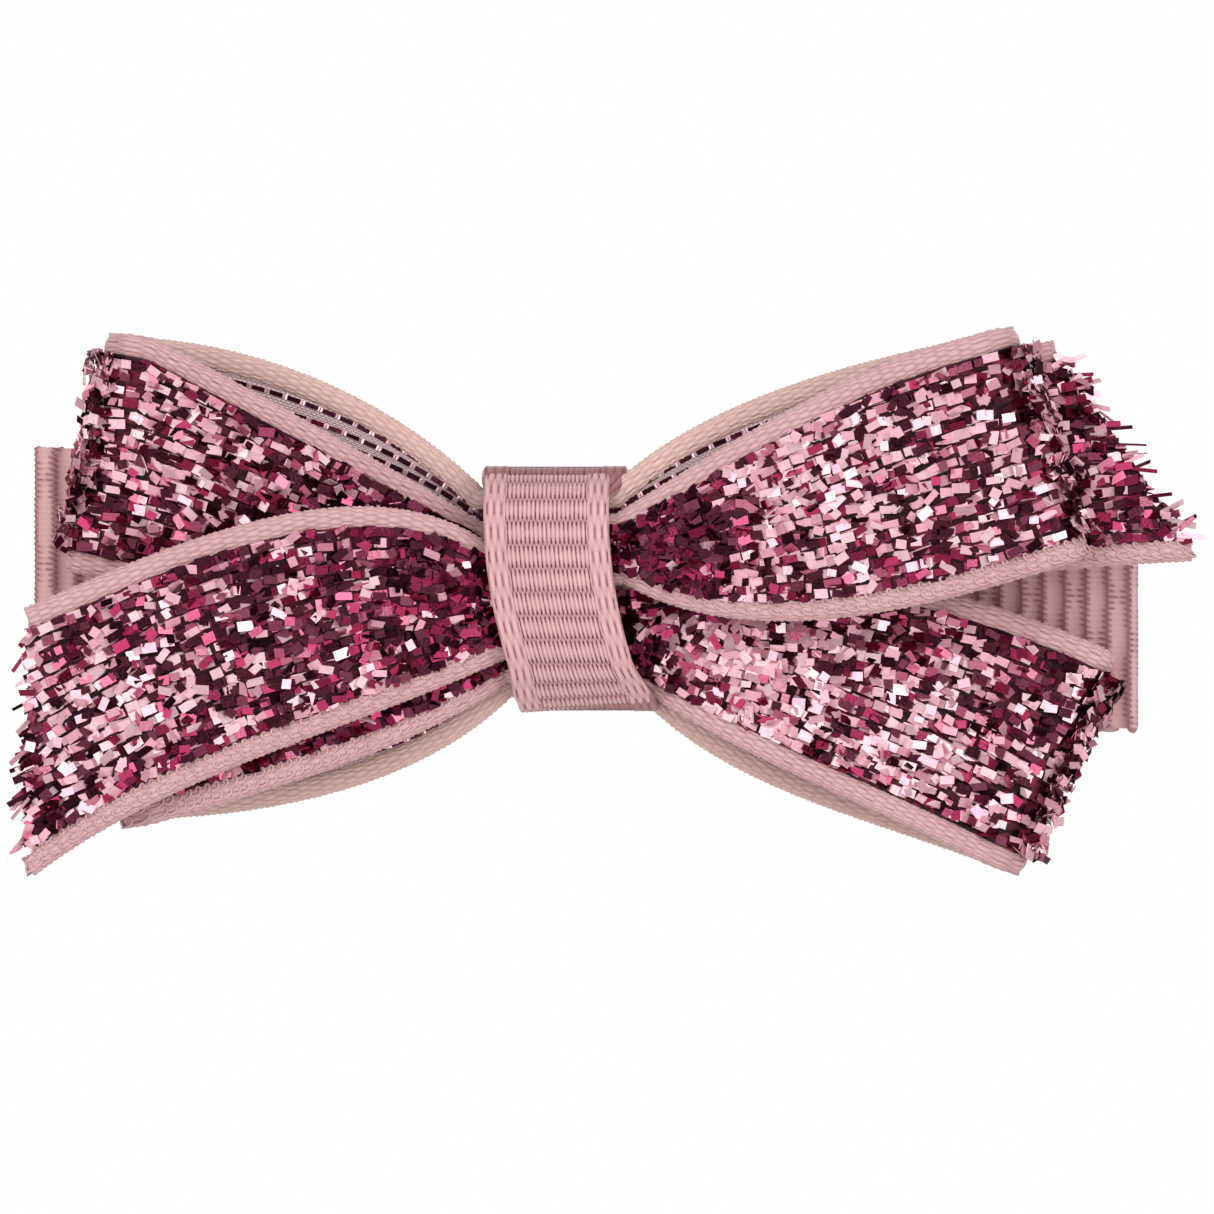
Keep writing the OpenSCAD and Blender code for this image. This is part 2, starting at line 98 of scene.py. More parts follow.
# The surround is white to the camera, dark in mirrors and grey as a light on dull faces.
seen_colour = (1, 1, 1, 1)
mirrored_colour = (0.09, 0.085, 0.09, 1)
lit_colour = (0.42, 0.41, 0.42, 1)
surround = bpy.data.worlds.new("surround")
surround.use_nodes = True
bpy.context.scene.world = surround
world_nodes = surround.node_tree.nodes
world_links = surround.node_tree.links
world_nodes.clear()
seen = world_nodes.new("ShaderNodeBackground")
seen.inputs["Color"].default_value = seen_colour
mirrored = world_nodes.new("ShaderNodeBackground")
choice = world_nodes.new("ShaderNodeMixShader")
path = world_nodes.new("ShaderNodeLightPath")
world_out = world_nodes.new("ShaderNodeOutputWorld")
spread = world_nodes.new("ShaderNodeMix")
spread.data_type = "RGBA"
spread.inputs[6].default_value = mirrored_colour
spread.inputs[7].default_value = lit_colour
world_links.new(path.outputs["Is Diffuse Ray"], spread.inputs[0])
world_links.new(spread.outputs[2], mirrored.inputs["Color"])
world_links.new(path.outputs["Is Camera Ray"], choice.inputs[0])
world_links.new(mirrored.outputs[0], choice.inputs[1])
world_links.new(seen.outputs[0], choice.inputs[2])
world_links.new(choice.outputs[0], world_out.inputs[0])


def tint(red, green, blue):
    """A colour given as it looks on a screen, 0 to 255, in the linear form that shaders take."""
    shares = (red / 255, green / 255, blue / 255)
    return tuple(((c + 0.055) / 1.055) ** 2.4 if c > 0.04 else c / 12.92 for c in shares) + (1,)


class Value:
    """A socket that takes part in arithmetic: each operator adds the Math node for it."""

    def __init__(self, finish, socket):
        self.finish = finish
        self.socket = socket

    def math(self, operation, *terms):
        return self.finish.node("Math", {"operation": operation}, dict(enumerate(terms)))

    def __add__(self, other):
        return self.math("ADD", self, other)

    __radd__ = __add__

    def __sub__(self, other):
        return self.math("SUBTRACT", self, other)

    def __rsub__(self, other):
        return self.math("SUBTRACT", other, self)

    def __mul__(self, other):
        return self.math("MULTIPLY", self, other)

    __rmul__ = __mul__

    def __truediv__(self, other):
        return self.math("DIVIDE", self, other)

    def __pow__(self, other):
        return self.math("POWER", self, other)

    def part(self):
        return self.math("FRACT", self)

    def floor(self):
        return self.math("FLOOR", self)

    def clamped(self):
        return self.math("MINIMUM", self.math("MAXIMUM", self, 0), 1)


class Finish:
    """One material. node() adds a node from its type, its settings and its sockets' values or links."""

    def __init__(self, name):
        self.material = bpy.data.materials.new(name)
        self.material.use_nodes = True
        self.nodes = self.material.node_tree.nodes
        self.links = self.material.node_tree.links
        self.nodes.clear()

    def node(self, kind, settings, sockets, out=0):
        made = self.nodes.new("ShaderNode" + kind)
        for name, value in settings.items():
            if name == "stops":
                made.color_ramp.elements[0].position = value[0][0]
                made.color_ramp.elements[0].color = value[0][1]
                made.color_ramp.elements[1].position = value[-1][0]
                made.color_ramp.elements[1].color = value[-1][1]
                for place, colour in value[1:-1]:
                    made.color_ramp.elements.new(place).color = colour
            elif name == "blend":
                made.color_ramp.interpolation = value
            else:
                setattr(made, name, value)
        for name, value in sockets.items():
            if isinstance(value, Value):
                self.links.new(value.socket, made.inputs[name])
            else:
                made.inputs[name].default_value = value
        return Value(self, made.outputs[out]) if made.outputs else None

    def mix(self, amount, first, second):
        return self.node("Mix", {"data_type": "RGBA"}, {0: amount, 6: first, 7: second}, 2)

    def ramp(self, amount, stops, blend="LINEAR"):
        return self.node("ValToRGB", {"stops": stops, "blend": blend}, {0: amount})

    def noise(self, scale, detail=3.0, place=None, out=0):
        where = place or self.node("TexCoord", {}, {}, "Object")
        return self.node("TexNoise", {}, {"Vector": where, "Scale": scale, "Detail": detail}, out)

    def along_across(self):
        """How far along and across its ribbon a point lies, in millimetres."""
        where = self.node("UVMap", {"uv_map": "weave"}, {})
        return [self.node("SeparateXYZ", {}, {0: where}, axis) for axis in (0, 1)]

    def bump(self, height, distance, strength=1.0, under=None):
        sockets = {"Height": height, "Distance": distance, "Strength": strength}
        if under:
            sockets["Normal"] = under
        return self.node("Bump", {}, sockets)

    def surface(self, sockets):
        shader = self.node("BsdfPrincipled", {}, sockets)
        self.node("OutputMaterial", {}, {"Surface": shader})
        return self.material


def ended(bm, name):
    """The mesh that a finished bmesh makes."""
    mesh = bpy.data.meshes.new(name)
    bm.to_mesh(mesh)
    bm.free()
    return mesh


floor_radius = 0.16
floor_ahead = -0.125
paper = Finish("paper_floor")
floor_grain = paper.noise(60, 4)
paper_white = paper.mix(floor_grain, tint(244, 242, 241), tint(250, 249, 248))
bm = bmesh.new()
floor_place = Matrix.Translation((0, floor_ahead, floor_height))
bmesh.ops.create_circle(bm, cap_ends=True, segments=96, radius=floor_radius, matrix=floor_place)
floor_mesh = ended(bm, "floor")
floor_mesh.materials.append(paper.surface({"Base Color": paper_white, "Roughness": 0.8}))
floor = shown("floor", floor_mesh)

# ---------------------------------------------------------------------------
# The glitter ribbons: two lengths of 12 mm ribbon. One runs from the left tail round the upper
# right and lower left loops to the right tail, and the other is folded into the other two loops.
# Their route is the frame's: the same selvedge curves, depths and folds, in millimetres.

ribbon_w = 12.0
ribbon_t = 0.22
layer_pitch = 0.75
fold_inner = 1.5
fold_outer = 4.4
knot_half = 3.3
knot_z = -0.35
knot_lean = math.tan(math.radians(9))
knot_step = 0.3
back_level = -3.45
# The depth of each layer at the knot, from 1 in front to 5 at the back.
level = {5 - i: back_level - i * layer_pitch for i in range(5)}
# The depths of the folds and cut ends, at their inner and outer selvedge.
fall_front = (back_level - fold_inner, back_level - fold_outer)
clear = 0.95
edge_clear = 0.35
tail_spread = (0.4, 0.8)
behind = (fall_front[0] - clear, back_level - edge_clear)
left_front = (behind[0] - fold_inner, behind[1] - fold_outer)
left_tail_depth = (left_front[0] - clear - tail_spread[0], left_front[1] - clear - tail_spread[1])
right_back = (behind[0] - clear, behind[1] - clear)
right_front = (right_back[0] - fold_inner, right_back[1] - fold_outer)


def polar(distance, degrees):
    angle = math.radians(degrees)
    return np.array([distance * math.cos(angle), distance * math.sin(angle)])


def cubic(points, t):
    """A point on a cubic curve, for each t."""
    weights = ((1 - t) ** 3, 3 * (1 - t) ** 2 * t, 3 * (1 - t) * t**2, t**3)
    return sum(np.multiply.outer(w, np.asarray(p, float)) for w, p in zip(weights, points))


def corner(reach, rise, lean, slant, high):
    """The end of one selvedge at a fold or a cut, as X and Z."""
    up = lean - 90 if abs(lean) > 90 else lean + 90
    half = (1 if high else -1) * ribbon_w / 2 / math.cos(math.radians(slant))
    return polar(reach, rise) + polar(half, up + slant)


def knot_edge(side, z):
    """Where the ribbons come out of the knot at height z, left or right."""
    return side * knot_half - (z - knot_z) * knot_lean + (knot_step if side > 0 else 0)


first_rise = 0.3


class Layer:
    """One pass of ribbon between the knot and a fold or a cut end: two selvedge curves and a depth."""

    def __init__(self, side, gather, angles, corners, start_depth, end_depths, up):
        self.edges = []
        for z, (leave, arrive), end in zip(gather, angles, corners):
            start = np.array([knot_edge(side, z), z])
            pull = np.linalg.norm(end - start) / 3
            self.edges.append([start, start + polar(pull, leave), end - polar(pull, arrive), end])
        self.start_depth = start_depth
        self.end_depths = end_depths
        self.up = up

    def rows(self, t, v):
        low, high = (cubic(edge, t)[:, None, :] for edge in self.edges)
        flat = low + (high - low) * v[None, :, None]
        bow_out = v**2 if self.up else (1 - v) ** 2
        far = self.end_depths[0] + (self.end_depths[1] - self.end_depths[0]) * bow_out
        near = self.start_depth + (far - self.start_depth) * first_rise
        depth = np.multiply.outer((1 - t) ** 3, np.full_like(v, self.start_depth))
        depth += np.multiply.outer(3 * (1 - t) ** 2 * t, near)
        depth += np.multiply.outer(3 * (1 - t) * t**2 + t**3, far)
        return np.stack([flat[..., 0], depth, flat[..., 1]], axis=-1)


lanes = np.linspace(0, 1, 25)
layer_steps = np.linspace(0, 1, 60)
fold_angles = np.radians(np.linspace(0, 180, 22)[1:-1])


def turned(first, second, lean):
    """The half turn of a fold, from the last row of one layer to the first row of the next."""
    reach = np.abs(first[:, 1] - second[:, 1]) / 2
    out = np.array([math.cos(math.radians(lean)), 0, math.sin(math.radians(lean))])
    made = []
    for angle in fold_angles:
        row = first + (second - first) * (1 - math.cos(angle)) / 2
        made.append(row + np.outer(reach * math.sin(angle), out))
    return np.array(made)


def loop(front, back, lean):
    """A loop from the knot out on its front layer, round the fold and back."""
    there = front.rows(layer_steps, lanes)
    home = back.rows(layer_steps[::-1], lanes)
    return np.concatenate([there, turned(there[-1], home[0], lean), home])


def loop_corners(reach, rise, lean, up):
    """A fold's two ends, which stop short of it by its own radius."""
    ends = []
    for high in (False, True):
        depth = fold_outer if high == up else fold_inner
        ends.append(corner(reach, rise, lean, 0, high) - polar(depth / 2, lean))
    return ends


# The direction that each loop points in, in degrees.
upper_right_lean = 17.8
lower_right_lean = -24.4
upper_left_lean = 169.5
lower_left_lean = 196.5

# The folds and the cut ends, by how far from the bow's middle and at what angle they lie.
upper_left_ends = loop_corners(24.4, 163.7, upper_left_lean, True)
lower_left_ends = loop_corners(24.0, 195.1, lower_left_lean, False)
upper_right_ends = loop_corners(25.5, 16.7, upper_right_lean, True)
lower_right_ends = loop_corners(26.9, -19.3, lower_right_lean, False)
left_cut = [corner(27.4, 196.3, 205, -25, high) for high in (False, True)]
right_cut = [corner(29.1, 13.7, 12, 22, high) for high in (False, True)]

# Each layer: its side, the heights of its low and high edge at the knot, the angles at which
# each edge leaves and arrives, its ends, its depth at the knot, its depths at the end, and
# whether it opens out upward.
flat_back = (back_level, back_level)
left_tail = Layer(
    -1, (-3.2, 1.8), ((207, 218), (141, 203)), left_cut, level[1], left_tail_depth, False,
)
upper_right_front = Layer(
    1, (0.7, 3.2), ((-32, 17.8), (34, 13.8)), upper_right_ends, level[1], right_front, True,
)
upper_right_back = Layer(
    1, (0.9, 4.6), ((-24, 17.8), (46, 11.8)), upper_right_ends, level[2], right_back, True,
)
lower_left_front = Layer(
    -1, (-4.3, -0.5), ((217, 196.5), (165, 196.5)), lower_left_ends, level[2], left_front, False,
)
lower_left_back = Layer(
    -1, (-5, -1.2), ((228, 182.5), (170, 196.5)), lower_left_ends, level[3], behind, False,
)
right_tail = Layer(
    1, (0.6, 4.2), ((-8, 2), (35, 12)), right_cut, level[3], behind, True,
)
upper_left_front = Layer(
    -1, (-1.8, 2.8), ((188, 169.5), (148, 151.5)), upper_left_ends, level[4], fall_front, True,
)
lower_right_front = Layer(
    1, (-4.6, 0.2), ((-37, -27.4), (12, -24.4)), lower_right_ends, level[4], fall_front, False,
)
upper_left_back = Layer(
    -1, (0.6, 4.6), ((175, 169.5), (133, 175.5)), upper_left_ends, level[5], flat_back, True,
)
lower_right_back = Layer(
    1, (-5, -0.6), ((-50, -20.4), (5, -24.4)), lower_right_ends, level[5], flat_back, False,
)


class Strip:
    """A ribbon's middle surface, as rows of points across it, measured along its middle line."""

    def __init__(self, rows):
        self.rows = rows
        steps = np.linalg.norm(np.diff(rows[:, len(lanes) // 2], axis=0), axis=1)
        self.along = np.concatenate([[0], np.cumsum(steps)])
        self.length = self.along[-1]

    def at(self, u, v):
        """The point u millimetres along and the share v across."""
        count, columns = self.rows.shape[:2]
        row = np.interp(u, self.along, np.arange(count))
        column = np.clip(v, 0, 1) * (columns - 1)
        r = np.minimum(row.astype(int), count - 2)
        c = np.minimum(column.astype(int), columns - 2)
        past_row, past_column = (row - r)[:, None], (column - c)[:, None]
        near = self.rows[r, c] * (1 - past_column) + self.rows[r, c + 1] * past_column
        far = self.rows[r + 1, c] * (1 - past_column) + self.rows[r + 1, c + 1] * past_column
        return near * (1 - past_row) + far * past_row

    def frame(self, u, v):
        """The directions along, across and out of the ribbon at a point."""
        reach, share = 0.25, 0.03
        along = self.at(u + reach, v) - self.at(u - reach, v)
        across = self.at(u, v + share) - self.at(u, v - share)
        along /= np.linalg.norm(along, axis=1)[:, None]
        out = np.cross(along, across)
        out /= np.linalg.norm(out, axis=1)[:, None]
        return along, np.cross(out, along), out


def finished(name, mesh, material, body="bow"):
    """An object of one mesh, in millimetres until now, with its material, riding on its body."""
    mesh.transform(Matrix.Scale(MM, 4))
    mesh.materials.clear()
    mesh.materials.append(material)
    made = shown(name, mesh)
    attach(made, body)
    return made


def lay(name, columns, rows, place, closed=False):
    """A grid laid out by place(across, along), which gives each corner's point, UV and relief,
    a share that darkens the grooves as painted shade.
    """
    bm = bmesh.new()
    bmesh.ops.create_grid(bm, x_segments=columns, y_segments=rows, size=0.5)
    mesh = ended(bm, name)
    corners = np.zeros(len(mesh.vertices) * 3, np.float32)
    mesh.vertices.foreach_get("co", corners)
    share = corners.reshape(-1, 3)[:, :2].astype(float) + 0.5
    points, weave, *relief = place(share[:, 0], share[:, 1])
    mesh.vertices.foreach_set("co", points.astype(np.float32).ravel())
    if relief:
        heights = mesh.attributes.new("relief", "FLOAT", "POINT")
        heights.data.foreach_set("value", relief[0].astype(np.float32))
    owner = np.zeros(len(mesh.loops), np.int32)
    mesh.loops.foreach_get("vertex_index", owner)
    mesh.uv_layers.new(name="weave").data.foreach_set("uv", weave[owner].astype(np.float32).ravel())
    if closed:
        bm = bmesh.new()
        bm.from_mesh(mesh)
        bmesh.ops.remove_doubles(bm, verts=bm.verts[:], dist=1e-4)
        bmesh.ops.holes_fill(bm, edges=[e for e in bm.edges if e.is_boundary], sides=0)
        bmesh.ops.recalc_face_normals(bm, faces=bm.faces[:])
        bm.to_mesh(mesh)
        bm.free()
    mesh.shade_smooth()
    return mesh


def joined(name, meshes):
    """Several meshes as one."""
    bm = bmesh.new()
    for part in meshes:
        bm.from_mesh(part)
        bpy.data.meshes.remove(part)
    return ended(bm, name)


def thicken(piece, thickness, offset=0.0):
    """Gives a laid sheet its thickness, in millimetres."""
    wall = piece.modifiers.new("thickness", "SOLIDIFY")
    wall.thickness = thickness * MM
    wall.offset = offset


# The ground weave, seen inside the loops: grey-rose cloth of small oval floats, set like bricks.
float_length = 0.26
float_width = 0.147
ground = Finish("ribbon_ground")
along, across = ground.along_across()
course = (across / float_width).floor()
brick = (along / float_length + course * 0.5).part() * 2 - 1
lane = (across / float_width).part() * 2 - 1
oval = (1 - brick * brick) * (1 - lane * lane)
ground_tone = ground.noise(700, 4)
ground_mid = ground.mix(ground_tone, tint(206, 178, 184), tint(232, 208, 208))
# The gaps between the floats take a deep rose: painted shade.
ground_colour = ground.mix((1 - oval) ** 3 * 0.75, ground_mid, tint(136, 88, 102))
ground_bump = ground.bump(oval ** 0.5, 0.00006, 0.9)
ribbon_ground = ground.surface({"Base Color": ground_colour, "Roughness": 0.7, "Normal": ground_bump})

tail_rows = left_tail.rows(layer_steps[::-1], lanes)
upper_right = loop(upper_right_front, upper_right_back, upper_right_lean)
lower_left = loop(lower_left_front, lower_left_back, lower_left_lean)
end_rows = right_tail.rows(layer_steps, lanes)
lower_right = loop(lower_right_back, lower_right_front, lower_right_lean)
upper_left = loop(upper_left_front, upper_left_back, upper_left_lean)


def crossing(before, after):
    """The stretch inside the knot, between two wings."""
    return np.array([before[-1] + (after[0] - before[-1]) * s for s in (0.25, 0.5, 0.75)])


rising = Strip(np.concatenate([
    tail_rows, crossing(tail_rows, upper_right), upper_right, crossing(upper_right, lower_left),
    lower_left, crossing(lower_left, end_rows), end_rows,
]))
# The falling ribbon's two ends stop just short of each other behind the knot.
seam = (upper_left[-1] + lower_right[0])[None] / 2
seam_half = np.array([0.175, 0, 0])
falling = Strip(np.concatenate([
    seam + seam_half, lower_right, crossing(lower_right, upper_left), upper_left, seam - seam_half,
]))


def ribbon_cloth(name, strip, node):
    """The woven ground of one length of ribbon, as cut and folded."""

    def place(s, t):
        u = t * strip.length
        return strip.at(u, s), np.stack([u, s * ribbon_w], axis=-1)

    mesh = lay(name, 24, int(strip.length * 3.2), place)
    piece = finished(name, mesh, ribbon_ground)
    thicken(piece, ribbon_t)
    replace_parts(piece, node)
    return piece


ribbon_cloth("rising_ribbon_cloth", rising, "rising_ribbon")
ribbon_cloth("falling_ribbon_cloth", falling, "falling_ribbon")

# The glitter face: a dark cut pile of foil on one side of each wing, in rows along the ribbon.
# Each bit of foil is a flat clipping that leans its own way, and its colour is a painted
# reflection, from dark through crimson and mauve to a pale painted highlight. The dark sheet under
# the clippings is painted shade. On the other side the same foil shows as rows of short dashes
# between the ties of the weave.

foil = Finish("rose_foil")
# The ramp of painted reflections: dark where foil mirrors dark surroundings, through crimson and mauve,
# to a pale painted highlight where it mirrors a lamp.
foil_tone = foil.node("Attribute", {"attribute_name": "tone"}, {}, "Fac")
foil_colour = foil.ramp(foil_tone, [
    (0.0, tint(58, 22, 36)), (0.3, tint(84, 38, 52)), (0.36, tint(120, 20, 54)),
    (0.5, tint(158, 50, 88)), (0.58, tint(194, 92, 126)), (0.72, tint(246, 178, 196)),
    (1.0, tint(255, 216, 225)),
])
# Pale clippings are made less metallic, so that their painted highlight stays bright under any light.
foil_highlight_share = ((foil_tone - 0.55) * 6).clamped()
foil_scuff = foil.noise(7000, 3)
foil_colour = foil.mix(foil_scuff ** 3 * 0.35, foil_colour, tint(170, 96, 120))
foil_bump = foil.bump(foil_scuff, 0.00002, 0.6)
rose_foil = foil.surface({
    "Base Color": foil_colour, "Metallic": 0.96 - foil_highlight_share * 0.5, "Roughness": 0.14 + foil_scuff * 0.16,
    "Normal": foil_bump,
})

# The sheet under the clippings stands for the deeper pile, coloured near-black to dark rose as painted
# shade.
pile = Finish("pile_ground")
along, across = pile.along_across()
pile_cells = pile.node("TexVoronoi", {}, {
    "Vector": pile.node("CombineXYZ", {}, {0: along * 2.4, 1: across * 2.4}), "Scale": 1.0,
}, "Color")
pile_pick = pile.node("SeparateColor", {}, {0: pile_cells})
pile_colour = pile.ramp(pile_pick, [
    (0.0, tint(26, 4, 12)), (0.6, tint(58, 8, 24)), (1.0, tint(128, 26, 56)),
])
pile_ground = pile.surface({
    "Base Color": pile_colour, "Metallic": 0.5, "Roughness": 0.45,
    "Normal": pile.bump(pile_pick, 0.0002, 0.9),
})

selvedge_w = 0.95
foil_rows = 16
foil_row_pitch = (ribbon_w - 2 * selvedge_w) / foil_rows
foil_thickness = 0.04
foil_lengths = (0.42, 0.88)
foil_widths = (0.34, 0.52)
# Each depth of the pile: the step between clippings, their lowest and highest lift, lean and turn.
foil_depths = ((0.6, 0.2, 0.32, 7, 4), (0.72, 0.3, 0.46, 14, 10), (1.5, 0.4, 0.62, 26, 30))


def clippings(name, batches, tones):
    """Flat foil clippings, a batch of placing matrices at a time, each with its own tone, a place on the
    ramp of painted reflections.
    """
    whole = bmesh.new()
    for batch in batches:
        bm = bmesh.new()
        for matrix in batch:
            bmesh.ops.create_cube(bm, size=1.0, matrix=matrix)
        part = ended(bm, "part")
        whole.from_mesh(part)
        bpy.data.meshes.remove(part)
    mesh = ended(whole, name)
    faces_each = 6
    attribute = mesh.attributes.new("tone", "FLOAT", "FACE")
    attribute.data.foreach_set("value", np.repeat(np.concatenate(tones), faces_each).astype(np.float32))
    return mesh


def leaning(strip, side, u, v, lift, yaw, pitch, roll, length, width):
    """Matrices that set clippings on a ribbon, each turned, tipped and rolled by its own angles."""
    point = strip.at(u, v)
    along, wide, out = strip.frame(u, v)
    out = out * side
    point = point + out * lift[:, None]
    cos, sin = np.cos, np.sin
    long_way = along * cos(yaw)[:, None] + wide * sin(yaw)[:, None]
    short_way = wide * cos(yaw)[:, None] - along * sin(yaw)[:, None]
    raised, level_off = sin(pitch)[:, None], cos(pitch)[:, None]
    long_way, face = long_way * level_off + out * raised, out * level_off - long_way * raised
    short_way, face = (
        short_way * cos(roll)[:, None] + face * sin(roll)[:, None],
        face * cos(roll)[:, None] - short_way * sin(roll)[:, None],
    )
    made = []
    for i in range(len(u)):
        sides = [long_way[i] * length[i], short_way[i] * width[i], face[i] * foil_thickness, point[i]]
        made.append(Matrix([*np.stack(sides, axis=1).tolist(), [0, 0, 0, 1]]))
    return made


def strewn(draw, strip, side, u, v, lift, turn, tip, roll, loose=1):
    """Clippings of random size on a ribbon, with angles drawn from the given spreads in degrees."""
    count = len(u)
    return leaning(
        strip, side, u, v, lift, np.radians(draw.normal(0, turn, count)),
        np.radians(draw.normal(0, tip, count) * loose), np.radians(draw.normal(0, roll, count) * loose),
        draw.uniform(*foil_lengths, count), draw.uniform(*foil_widths, count),
    )


# The tones of pale, dark, crimson and mauve clippings, as places on the colour ramp: a painted
# highlight, a painted dark reflection and two painted reflections between.
foil_tones = ((0.7, 1.0), (0.0, 0.3), (0.36, 0.5), (0.54, 0.64))
# The usual share of pale clippings, the share gained in the painted highlight patches, and the share lost
# near the knot to painted shade.
pale_usual = 0.43
pale_gained_in_patch = 0.26
pale_lost_at_knot = 0.42


def shade(draw, count, near_knot, patch):
    """Tones of clippings: pale, dark, crimson or mauve, as painted reflections, with more pale ones
    in the painted highlight patches off the knot and, as painted shade, fewer near it.
    """
    pick = draw.uniform(0, 1, count)
    pale_share = pale_usual + pale_gained_in_patch * patch - pale_lost_at_knot * near_knot
    pale_share = np.clip(pale_share, 0.06, 0.85)
    dark_share = pale_share + (1 - pale_share) * 0.5
    crimson_share = dark_share + (1 - pale_share) * 0.28
    pale, dark, crimson, mauve = [draw.uniform(low, high, count) for low, high in foil_tones]
    rest = np.where((pick < crimson_share) | (near_knot > 0.6), crimson, mauve)
    return np.where(pick < pale_share, pale, np.where(pick < dark_share, dark, rest))


# The middle, start and reach of the painted shade round the knot, in millimetres along X.
shade_middle = 0.2
shade_start = 3.2
shade_reach = 5.0


def knot_closeness(points):
    """How close to the knot a point lies, from 0 well away from it to 1."""
    away = np.abs(points[:, 0] - shade_middle) - shade_start
    return np.clip(1.3 - away / shade_reach, 0, 1)


# The places of the painted highlight patches, where more clippings are pale: X, Z and strength.
highlight_spots = (
    (-21, 9, 1.8), (-23, -7, 1.8), (13, 4.5, 1.9), (19, 7, 1.5), (10.5, -5, 2.4), (18, -9, 2.0),
)
spot_spread = 30
spot_level = 0.85


def highlight_strength(points):
    """How strong the painted highlight is, above 0 near the places listed."""
    spots = [
        strong * np.exp(-((points[:, 0] - x) ** 2 + (points[:, 2] - z) ** 2) / spot_spread)
        for x, z, strong in highlight_spots
    ]
    return np.max(spots, axis=0) - spot_level


pile_lift = 0.17
pile_ripple = 0.05
pile_t = 0.08
# Where a row's foil begins and ends, and how far clippings stray from their places, as shares.
foil_start = 0.3
foil_end = 0.2
stray_along = 0.35
stray_across = 0.13
# The pale patches, painted highlights: how strong they are, and how closely they follow along and across.
patch_strength = 0.7
patch_along = 1.7
patch_across = 11.0
# Round a fold the pile opens: it stands higher, leans more loosely, and shows more clippings.
bend_start = 0.25
bend_lift = 0.75
bend_loose = 1.6
bend_step = 0.1
bend_stray = 0.2
bend_lifts = (0.2, 1.25)
bend_spreads = (25, 18, 22)


def glitter(name, strip, side, seed, shaded):
    """The pile and the foil on the outer side of one wing, and the dashes on its inner side."""
    draw = np.random.RandomState(seed)
    batches, tones = [], []
    swell = draw.uniform(0, 6.28, 2)  # Where the pale patches of this wing begin.
    for row in range(foil_rows):
        v_row = (selvedge_w + (row + 0.5) * foil_row_pitch) / ribbon_w
        for step, low, high, lean, turn in foil_depths:
            u = np.arange(foil_start, strip.length - foil_end, step)
            count = len(u)
            u = u + draw.uniform(-stray_along, stray_along, count) * step
            v = v_row + draw.normal(0, stray_across, count) * foil_row_pitch / ribbon_w
            bend = 1 - np.abs(strip.frame(u, v)[2][:, 1])
            lift = draw.uniform(low, high, count) + bend_lift * bend * draw.uniform(0, 1, count) ** 1.5
            loose = 1 + bend_loose * bend
            batches.append(strewn(draw, strip, side, u, v, lift, turn, lean, lean, loose))
            places = strip.at(u, v)
            waves = np.sin(patch_along * u + swell[0]), np.sin(patch_across * v + swell[1])
            patch = highlight_strength(places) + patch_strength * waves[0] * waves[1]
            tones.append(shade(draw, count, shaded * knot_closeness(places), patch))
        u = np.arange(foil_start, strip.length - foil_end, bend_step)
        v = v_row + draw.normal(0, bend_stray, len(u)) * foil_row_pitch / ribbon_w
        bend = 1 - np.abs(strip.frame(u, v)[2][:, 1])
        u, v = u[bend > bend_start], v[bend > bend_start]
        count = len(u)
        lift = draw.uniform(*bend_lifts, count)
        batches.append(strewn(draw, strip, side, u, v, lift, *bend_spreads))
        tones.append(shade(draw, count, np.zeros(count), np.zeros(count)))
    mesh = clippings(name + "_foil", batches, tones)
    finished(name + "_foil", mesh, rose_foil)

    def ground_place(s, t):
        u = t * strip.length
        v = (selvedge_w + s * (ribbon_w - 2 * selvedge_w)) / ribbon_w
        lift = side * (pile_lift + pile_ripple * np.sin(2 * np.pi * (s * foil_rows + 0.25)))
        points = strip.at(u, v) + strip.frame(u, v)[2] * lift[:, None]
        return points, np.stack([u, v * ribbon_w], axis=-1)

    mesh = lay(name + "_pile", 44, int(strip.length * 2.5), ground_place)
    thicken(finished(name + "_pile", mesh, pile_ground), pile_t)
    dashes(name, strip, -side, draw)


dash_rows = 12
dash_pitch = 0.97
dash_length = 0.66
dash_tone = 0.16
dash_lift = 0.14
dash_widths = (0.2, 0.26)
dash_stray = 4
dash_tone_spread = 0.08
tie_length = 0.1
tie_tone = 0.95
tie_tip = 24
tie_places = (dash_length / 2 + 0.07, dash_length / 2 + 0.21)


def dashes(name, strip, side, draw):
    """The foil on the reverse: flat dark dashes, a painted dark reflection, and two bright bent slivers
    at each tie, a painted highlight.
    """
    batches, tones = [], []
    for row in range(dash_rows):
        v_row = (selvedge_w + (row + 0.5) * (ribbon_w - 2 * selvedge_w) / dash_rows) / ribbon_w
        start = np.arange(0.5 + draw.uniform(0, 0.9), strip.length - 0.5, dash_pitch)
        for place, length, tone, tip in (
            (0.0, dash_length, dash_tone, 2),
            (tie_places[0], tie_length, tie_tone, tie_tip),
            (tie_places[1], tie_length, tie_tone, -tie_tip),
        ):
            count = len(start)
            small = np.radians(draw.normal(0, dash_stray, (3, count)))
            batches.append(leaning(
                strip, side, start + place, np.full(count, v_row), np.full(count, dash_lift),
                small[0] * 0.3, small[1] + math.radians(tip), small[2] * 2,
                np.full(count, length), draw.uniform(*dash_widths, count),
            ))
            tones.append(np.clip(draw.normal(tone, dash_tone_spread, count), 0, 1))
    mesh = clippings(name + "_dashes", batches, tones)
    finished(name + "_dashes", mesh, rose_foil)


frayed_ends = 80
shortest_fray = 0.4
fray_spread = 1.2
fray_tuck = 0.3
fray_inset = 0.05
fray_widths = (0.18, 0.4)
fray_lifts = (0.0, 0.5)
fray_angles = (16, 16, 30)


